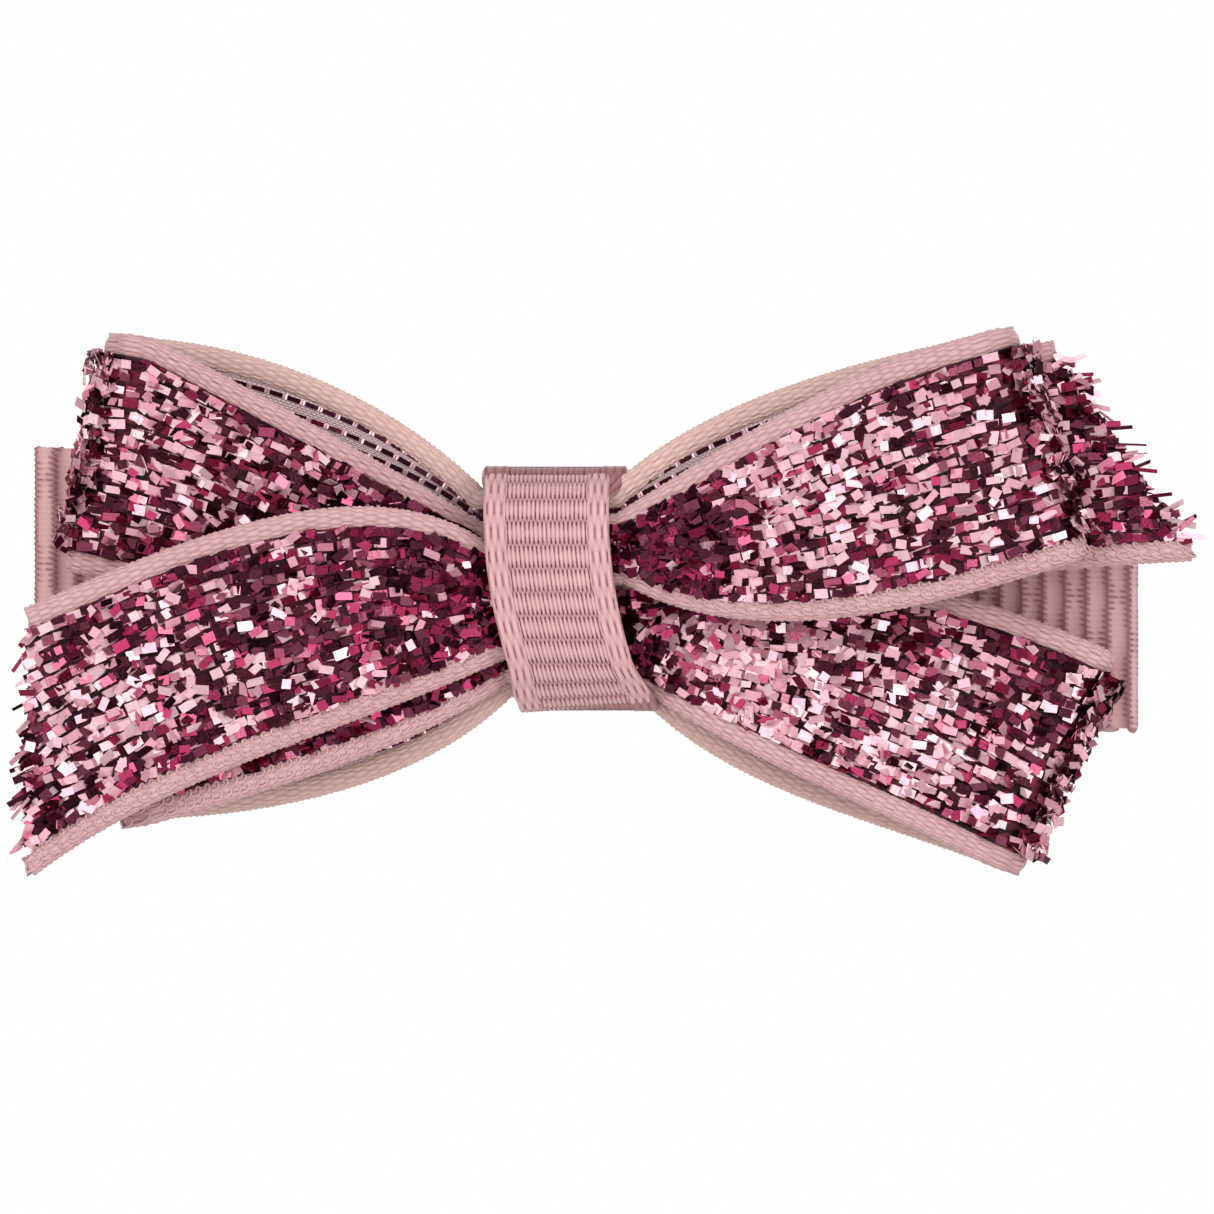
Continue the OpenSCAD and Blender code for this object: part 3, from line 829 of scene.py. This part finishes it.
def fray(name, strip, side, at_start, seed, count):
    """Loose ends of foil that stand out past a cut end."""
    draw = np.random.RandomState(seed)
    u = np.full(count, fray_inset if at_start else strip.length - fray_inset)
    v = draw.uniform(0.06, 0.94, count)
    outward = strip.frame(u, v)[0] * (-1 if at_start else 1)
    length = shortest_fray + fray_spread * draw.uniform(0, 1, count) ** 3
    lift = draw.uniform(*fray_lifts, count)
    turns = [np.radians(draw.normal(0, spread, count)) for spread in fray_angles]
    placed = leaning(strip, side, u, v, lift, *turns, length, draw.uniform(*fray_widths, count))
    for i, matrix in enumerate(placed):
        matrix.translation += Vector(outward[i] * (length[i] / 2 - fray_tuck))
    mesh = clippings(name + "_frayed_foil", [placed], [shade(draw, count, 0, 0)])
    finished(name + "_frayed_foil", mesh, rose_foil)


# The selvedges: flat bands of soft floss along each edge. The low edge of the rising ribbon is
# finished with a chain of small loops on its face.

floss = Finish("selvedge_floss")
along, across = floss.along_across()
strands = floss.node("TexNoise", {}, {
    "Vector": floss.node("CombineXYZ", {}, {0: along * 1.1, 1: across * 13}),
    "Scale": 1.0, "Detail": 3.0,
})
relief = floss.node("Attribute", {"attribute_name": "relief"}, {}, "Fac")
drift = floss.noise(150, 2)
inside = ((across - 1.5) * 5).clamped()
inside_share = 0.45
floss_body = floss.mix(drift, tint(224, 178, 183), tint(228, 194, 190))
floss_body = floss.mix(inside * inside_share, floss_body, tint(238, 218, 198))
floss_dark = floss.mix(drift, tint(150, 92, 106), tint(170, 126, 128))
floss_dark = floss.mix(inside * inside_share, floss_dark, tint(196, 160, 142))
# Low places between the threads take the dark colour, painted shade; the strand noise darkens it too, as
# the floss's own streaks.
floss_colour = floss.mix(((1 - relief) * 0.8 + (1 - strands) * 0.45).clamped(), floss_body, floss_dark)
selvedge_floss = floss.surface({
    "Base Color": floss_colour, "Roughness": 0.6, "Normal": floss.bump(strands, 0.00006, 0.8),
    "Sheen Weight": 0.3, "Sheen Roughness": 0.4,
})
selvedge_t = 0.4
floss_length = 0.62
floss_thread = 0.17
floss_threads = 14
scallop_pitch = 0.31
scallop_depth = 0.035
selvedge_inset = 0.03
fold_narrowing = 0.16
fold_draw = 0.4
edge_apart = 31
floss_around = 3.2
chain_pitch = 0.5
chain_loop = 0.22
chain_yarn = 0.075
chain_lift = 0.24
chain_wave = 0.06
chain_run = 0.36
chain_lines = (0.28, 0.78)


def floats(u, across, pitch, thread, share, rib_high, thread_high, parted=1.0):
    """The height of ribbed cloth in millimetres, and a share from 0 to 1, lower in the grooves and on
    the threads' sides, that paints shade there: each rib is a row of tapered threads, and those of
    the next rib lie half a thread aside, with their tips between these."""
    height = np.zeros_like(u)
    pale = np.zeros_like(u)
    rib = np.floor(u / pitch)
    for step in (-1, 0, 1):
        number = rib + step
        along = (u - (number + 0.5) * pitch) / (share * pitch / 2)
        taper = np.clip(1 - along**2, 0, 1)
        beside = across / thread + 0.5 * (number % 2)
        beside = np.abs(beside - np.round(beside)) * 2
        half = taper**0.35 + 1e-6
        round_back = np.clip(1 - (beside / half) ** 2, 0, 1)
        here = (rib_high * taper**0.7 + thread_high * np.sqrt(round_back)) * (round_back > 0)
        sides = 1 - parted + parted * np.sqrt(round_back)
        pale = np.where(here > height, sides * (0.3 + 0.7 * taper**0.6), pale)
        height = np.maximum(height, here)
    return height, pale


def yarn_tube(strip, side, line, length):
    """A yarn that runs along a wing in a chain of small loops."""

    def place(s, t):
        phase = t * length / chain_pitch * 2 * np.pi
        u = t * length - chain_loop * np.sin(phase)
        v = (line + chain_loop * np.cos(phase)) / ribbon_w
        along, wide, out = strip.frame(u, v)
        centre = strip.at(u, v) + out * (side * (chain_lift + chain_wave * np.sin(phase)))[:, None]
        run = wide * -np.sin(phase)[:, None] + along * (chain_run - np.cos(phase))[:, None]
        run /= np.linalg.norm(run, axis=1)[:, None]
        over = np.cross(run, out)
        ring = over * np.cos(2 * np.pi * s)[:, None] + out * np.sin(2 * np.pi * s)[:, None]
        points = centre + ring * chain_yarn
        # The yarn is lighter on its outer side and darker towards the ribbon: painted shade.
        relief = 0.5 + 0.5 * np.sin(2 * np.pi * s) * side
        return points, np.stack([t * length, s * 0.3], axis=-1), relief

    return lay("yarn", 5, int(length / chain_pitch * 12), place, closed=True)


def selvedges(name, strip, side, chained):
    """The floss along both edges of one wing, and its chain of loops."""
    parts = []
    for edge in (0, 1):

        def place(s, t, edge=edge):
            u = t * strip.length
            middle = selvedge_w / 2 - selvedge_inset
            v_line = np.full_like(u, middle / ribbon_w if edge == 0 else 1 - middle / ribbon_w)
            along, wide, out = strip.frame(u, v_line)
            bend = 1 - np.abs(out[:, 1])
            scallop = scallop_depth * np.sin(2 * np.pi * u / scallop_pitch)
            angle = 2 * np.pi * s
            half_w = selvedge_w / 2 + selvedge_inset + scallop - fold_narrowing * bend
            half_t = selvedge_t / 2
            round_it = s * floss_threads * floss_thread
            rise, relief = floats(
                u, round_it, floss_length, floss_thread, share=1.25, rib_high=0.03, thread_high=0.07,
            )
            flat, thick = np.cos(angle), np.sin(angle)
            drawn_in = (edge * 2 - 1) * fold_draw * bend**2
            aside = np.sign(flat) * np.abs(flat) ** 0.85 * (half_w + rise) - drawn_in
            above = np.sign(thick) * np.abs(thick) ** 0.8 * (half_t + rise)
            points = strip.at(u, v_line) + wide * aside[:, None] + out * above[:, None]
            inner_half = (s + (0 if side > 0 else 0.5)) % 1
            return points, np.stack([u + edge * edge_apart, inner_half * floss_around], axis=-1), relief

        parts.append(lay("band", 84, int(strip.length * 9), place, closed=True))
    if chained:
        for line in chain_lines:
            parts.append(yarn_tube(strip, side, line, strip.length))
    mesh = joined(name + "_selvedges", parts)
    finished(name + "_selvedges", mesh, selvedge_floss)


tuck = 1.3


def tucked(rows, start, end):
    """A wing's rows, carried on into the knot at the ends that come out of it."""
    toward = np.array([-np.sign(rows[len(rows) // 2, 0, 0]) * tuck, 0, 0])
    parts = [rows]
    if start:
        parts.insert(0, rows[:1] + toward)
    if end:
        parts.append(rows[-1:] + toward)
    return np.concatenate(parts)


# Each wing: its rows, which side its foil is on, its seed, which ends go into the knot, whether
# it has the chain of loops, and how much painted shade darkens its foil near the knot.
wings = [
    ("left_tail", tail_rows, 1, 11, (False, True), True, 1.4),
    ("upper_right", upper_right, 1, 12, (True, True), True, 1.4),
    ("lower_left", lower_left, -1, 13, (True, True), True, 1.2),
    ("right_tail", end_rows, 1, 14, (True, False), True, 1.0),
    ("lower_right", lower_right, -1, 15, (True, True), False, 0.35),
    ("upper_left", upper_left, -1, 16, (True, True), False, 0.9),
]
for wing, rows, side, seed, ends, chained, shaded in wings:
    strip = Strip(tucked(rows, *ends))
    glitter(wing, strip, side, seed, shaded)
    selvedges(wing, strip, side, chained)
    if not all(ends):
        fray(wing, strip, side, not ends[0], seed + 20, frayed_ends)

# ---------------------------------------------------------------------------
# The base loop: a length of rose grosgrain folded flat behind the bow, its ends meeting at the
# back under the knot. Each rib is a bundle of weft under fine warp threads, tied at its sides.

base_low, base_high = (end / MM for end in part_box("base_ribbon"))
base_w = 12.4
base_t = 0.45
base_waist = 9.2
base_waist_reach = 8.0
base_tilt = math.tan(math.radians(1.8))
base_middle = (base_low.x + base_high.x) / 2
base_radius = (base_high.y - base_low.y - base_t) / 2
base_back = base_high.y - base_t / 2
rib_pitch = 1.08

base_left = base_low.x + base_radius + base_t / 2
base_right = base_high.x - base_radius - base_t / 2


def base_row(x, y):
    """The middle line's point at x and half the loop's height there."""
    s = np.clip((np.abs(x) - knot_half) / base_waist_reach, 0, 1)
    half = base_waist / 2 + (base_w - base_waist) / 2 * s * s * (3 - 2 * s)
    tilt = -(x - base_middle) * base_tilt
    middle = knot_z + (tilt - knot_z) * np.minimum(1, np.abs(x) / base_waist_reach)
    rows = [np.stack([x, y, middle + (2 * v - 1) * half], axis=-1) for v in lanes]
    return np.stack(rows, axis=1)


base_seam = 0.18
base_steps = 80
turn = np.radians(np.linspace(0, 180, 14)[1:-1])
beyond = base_radius * np.sin(turn)
base_front = np.full(2 * base_steps, base_back - 2 * base_radius)
stations = np.concatenate([
    np.stack([np.linspace(base_seam, base_right, base_steps), np.full(base_steps, base_back)], axis=-1),
    np.stack([base_right + beyond, base_back - base_radius * (1 - np.cos(turn))], axis=-1),
    np.stack([np.linspace(base_right, base_left, 2 * base_steps), base_front], axis=-1),
    np.stack([base_left - beyond, base_back - base_radius * (1 + np.cos(turn))], axis=-1),
    np.stack([np.linspace(base_left, -base_seam, base_steps), np.full(base_steps, base_back)], axis=-1),
])
base = Strip(base_row(stations[:, 0], stations[:, 1]))


def grosgrain(name, light, mid, groove_shade):
    """Ribbed rayon cloth: pale threads over each rib, and a deeper rose down between them and on the
    threads' sides, painted shade.
    """
    finish = Finish(name)
    relief = finish.node("Attribute", {"attribute_name": "relief"}, {}, "Fac")
    along, across = finish.along_across()
    fibre = finish.noise(5200, 4)
    drift = finish.noise(260, 2)
    body = finish.mix(drift, mid, light)
    body = finish.mix(fibre * 0.35, body, mid)
    # The grooves and the threads' sides take the groove colour: painted shade.
    colour = finish.mix(((1 - relief) * 1.1).clamped(), body, groove_shade)
    bump = finish.bump(fibre, 0.00002, 0.6)
    return finish.surface({
        "Base Color": colour, "Roughness": 0.42, "Normal": bump,
        "Sheen Weight": 0.25, "Sheen Roughness": 0.35,
    })


base_grosgrain = grosgrain(
    "base_grosgrain", tint(232, 192, 188), tint(214, 166, 166), tint(150, 92, 100),
)
base_thread = 0.28
base_cloth_t = 0.26


def base_place(s, t):
    u = t * base.length
    rise, relief = floats(
        u, s * base_w, rib_pitch, base_thread, share=0.9, rib_high=0.15, thread_high=0.03, parted=0.3,
    )
    points = base.at(u, s) + base.frame(u, s)[2] * rise[:, None]
    return points, np.stack([u, s * base_w], axis=-1), relief


mesh = lay("base_ribbon_cloth", 130, int(base.length / rib_pitch * 7), base_place)
base_cloth = finished("base_ribbon_cloth", mesh, base_grosgrain)
thicken(base_cloth, base_cloth_t, -1)
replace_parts(base_cloth, "base_ribbon")

# ---------------------------------------------------------------------------
# The knot: a narrow strip of the same grosgrain, wound twice round the bow, the loop and the
# clip's plate. The inner turn shows past the outer one, in darker rose: painted shade.

knot_back = (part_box("knot_wrap")[1] / MM).y
strip_w = 6.25
inner_w = 5.9
strip_rib = 1.2
strip_thread = 0.215
edge_w = 1.08
edge_thread = 0.36
edge_lift = 0.03
edge_drop = 0.2
edge_round = 0.14
top_start, top_reach = 4.2, 1.4
foot_start, foot_reach = 3.5, 2.2
knot_row = 0.075


def knot_line(z):
    """How far the knot's middle lies from the bow's at height z: it leans, and bends a little."""
    return -0.28 - 0.16 * z + 0.0213 * z * z


def outline(front, back, low, high, top_round, foot_round, back_round, steps=24):
    """A closed outline in Y and Z, from the middle of the front down, under, up the back and over."""
    arcs = [
        ((front + foot_round, low + foot_round), foot_round, 180, 270),
        ((back - back_round, low + back_round), back_round, 270, 360),
        ((back - back_round, high - back_round), back_round, 0, 90),
        ((front + top_round, high - top_round), top_round, 90, 180),
    ]
    points = [(front, (low + high) / 2)]
    for centre, radius, begin, end in arcs:
        for angle in np.radians(np.linspace(begin, end, steps)):
            points.append((centre[0] + radius * math.cos(angle), centre[1] + radius * math.sin(angle)))
    points.append(points[0])
    points = np.array(points)
    walked = np.concatenate([[0], np.cumsum(np.linalg.norm(np.diff(points, axis=0), axis=1))])
    return points, walked


def eased(x):
    """A smooth step from 0 to 1."""
    x = np.clip(x, 0, 1)
    return x * x * (3 - 2 * x)


def knot_turn(name, ring, width, top, foot, rib_high, thread_high, material, columns, tilt=0.0):
    """One turn of the strip round an outline, spread and shifted at its top and foot."""
    points, walked = ring
    length = walked[-1]
    pitch = length / (2 * round(length / strip_rib / 2))

    def on_ring(u):
        return np.interp(u % length, walked, points[:, 0]), np.interp(u % length, walked, points[:, 1])

    def place(s, t):
        u = t * length
        y, z = on_ring(u)
        ahead, back = on_ring(u + 0.1), on_ring(u - 0.1)
        dy, dz = ahead[0] - back[0], ahead[1] - back[1]
        size = np.hypot(dy, dz)
        at_top, at_foot = eased((z - top_start) / top_reach), eased((-z - foot_start) / foot_reach)
        wide = width + top[0] * at_top + foot[0] * at_foot
        shift = top[1] * at_top + foot[1] * at_foot
        edge = np.minimum(s, 1 - s) * width
        aside = (s - 0.5) * width
        middle_rise, middle_relief = floats(u, aside, pitch, strip_thread, 1.14, rib_high, thread_high)
        edge_rise, edge_relief = floats(
            u, edge, pitch, edge_thread, 1.6, rib_high * 0.55, thread_high * 1.9,
        )
        inner = edge > edge_w
        rise = np.where(inner, middle_rise, edge_rise + edge_lift)
        rise = rise - edge_drop * np.clip(1 - edge / edge_round, 0, 1) ** 2
        relief = np.where(inner, middle_relief, edge_relief)
        x = knot_line(z) + shift + (s - 0.5) * wide
        lifted = z + tilt * at_foot * s
        made = np.stack([x, y + dz / size * rise, lifted - dy / size * rise], axis=-1)
        return made, np.stack([u, s * width], axis=-1), relief

    mesh = lay(name, columns, int(length / knot_row), place)
    return finished(name, mesh, material)


outer_ring = outline(
    front=-7.6, back=knot_back - 0.25, low=-5.95, high=5.5, top_round=2.9, foot_round=3.5, back_round=1.4,
)
inner_ring = outline(
    front=-7.15, back=knot_back - 0.6, low=-6.0, high=5.95, top_round=3.4, foot_round=3.6, back_round=1.2,
)
outer_grosgrain = grosgrain(
    "knot_grosgrain", tint(232, 190, 188), tint(216, 168, 170), tint(146, 90, 98),
)
# The inner turn's grosgrain: the same cloth in darker colours, painted shade where it lies under and
# behind the outer turn.
shaded_inner_grosgrain = grosgrain(
    "shaded_inner_grosgrain", tint(186, 128, 130), tint(160, 106, 110), tint(110, 62, 70),
)
outer_turn = knot_turn(
    "knot_outer_turn", outer_ring, strip_w, top=(0, 0), foot=(0.5, 0), rib_high=0.16, thread_high=0.1,
    material=outer_grosgrain, columns=210, tilt=0.35,
)
knot_turn(
    "knot_inner_turn", inner_ring, inner_w, top=(1.4, 0.35), foot=(0.8, 0.25), rib_high=0.1,
    thread_high=0.05, material=shaded_inner_grosgrain, columns=100,
)
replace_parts(outer_turn, "knot_wrap")

# ---------------------------------------------------------------------------
# The binding thread and the glue: polyester thread round the glitter ribbons under the knot,
# and clear hot glue between the bow, the loop and the clip.


def dressed(node, material):
    """Gives a node of the CAD its material."""
    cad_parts[node].data.materials.clear()
    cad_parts[node].data.materials.append(material)


thread = Finish("polyester_thread")
thread_fibre = thread.noise(4000, 3)
thread_colour = thread.mix(thread_fibre, tint(214, 204, 202), tint(236, 228, 226))
polyester = thread.surface({
    "Base Color": thread_colour, "Roughness": 0.5, "Normal": thread.bump(thread_fibre, 0.00003, 0.6),
})
dressed("binding_thread", polyester)

glue = Finish("hot_glue")
glue_cloud = glue.noise(500, 3)
hot_glue = glue.surface({
    "Base Color": glue.mix(glue_cloud, tint(222, 212, 190), tint(240, 234, 220)),
    "Roughness": 0.22 + glue_cloud * 0.2, "Normal": glue.bump(glue_cloud, 0.0002, 0.5),
    "Transmission Weight": 0.3, "IOR": 1.48,
})
for node in ("bow_glue", "clip_glue"):
    dressed(node, hot_glue)

# ---------------------------------------------------------------------------
# The clip: nickel-plated sheet steel, pressed and bent, with a rolled pin.

steel = Finish("nickel_steel")
mill_place = steel.node("TexCoord", {}, {}, "Object")
mill = steel.node("Mapping", {}, {"Vector": mill_place, "Scale": (0.08, 1.0, 1.0)})
grain = steel.noise(3000, 4, mill)
smudge = steel.noise(90, 3)
nickel = steel.surface({
    "Base Color": steel.mix(smudge, tint(214, 211, 206), tint(234, 232, 229)), "Metallic": 1.0,
    "Roughness": 0.26 + grain * 0.14 + smudge * 0.08, "Normal": steel.bump(grain, 0.00001, 0.35),
})
for node in ("clip_plate", "clip_jaw", "hinge_pin"):
    dressed(node, nickel)

# ---------------------------------------------------------------------------
# The spring: one piece of hard steel wire wound round the pin. The coil and the leg on the
# plate stay with the plate, and the last turn and the leg in the tab move with the jaw.

wire = Finish("spring_wire")
wire_draw = wire.noise(1500, 3)
spring_steel = wire.surface({
    "Base Color": wire.mix(wire_draw, tint(150, 152, 158), tint(188, 188, 190)), "Metallic": 1.0,
    "Roughness": 0.26 + wire_draw * 0.16, "Normal": wire.bump(wire_draw, 0.00001, 0.3),
})
pin_x, pin_y = 10.0, 3.25
coil_radius, wire_radius = 1.3, 0.35
wire_sides = 20
degrees_each = 6


def wound(name, start, sweep, foot, rise, leg_angle, leg_length, body, replaced):
    """Wire wound round the pin, from the height foot and the angle start, with a straight leg there."""
    bm = bmesh.new()
    ring = bmesh.ops.create_circle(bm, radius=wire_radius, segments=wire_sides)["verts"]
    upright = Matrix.Rotation(math.pi / 2, 4, "X")
    turned_by = Matrix.Rotation(math.radians(start), 4, "Z")
    placed = turned_by @ Matrix.Translation((coil_radius, 0, 0)) @ upright
    bmesh.ops.transform(bm, matrix=placed, verts=ring)
    edges = bm.edges[:]
    steps = int(abs(sweep) / degrees_each)
    bmesh.ops.spin(
        bm, geom=ring + edges, cent=(0, 0, 0), axis=(0, 0, 1), angle=math.radians(sweep),
        dvec=(0, 0, rise / steps), steps=steps, use_merge=False,
    )
    out = bmesh.ops.extrude_edge_only(bm, edges=edges)["geom"]
    along = Vector((math.cos(math.radians(leg_angle)), math.sin(math.radians(leg_angle)), 0))
    bmesh.ops.translate(
        bm, vec=along * leg_length, verts=[item for item in out if isinstance(item, bmesh.types.BMVert)],
    )
    bmesh.ops.holes_fill(bm, edges=[edge for edge in bm.edges if edge.is_boundary], sides=wire_sides)
    bmesh.ops.recalc_face_normals(bm, faces=bm.faces)
    bmesh.ops.translate(bm, vec=(pin_x, pin_y, foot), verts=bm.verts)
    mesh = ended(bm, name)
    for face in mesh.polygons:
        face.use_smooth = len(face.vertices) == 4
    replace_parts(finished(name, mesh, spring_steel, body), replaced)


wound(
    "spring_coil_wire", start=-102.3, sweep=-720, foot=-1.08, rise=1.44, leg_angle=-12.3,
    leg_length=7.5, body="bow", replaced="spring_coil",
)
wound(
    "spring_leg_wire", start=112, sweep=320, foot=1.08, rise=0, leg_angle=22,
    leg_length=5, body="jaw", replaced="spring_leg",
)
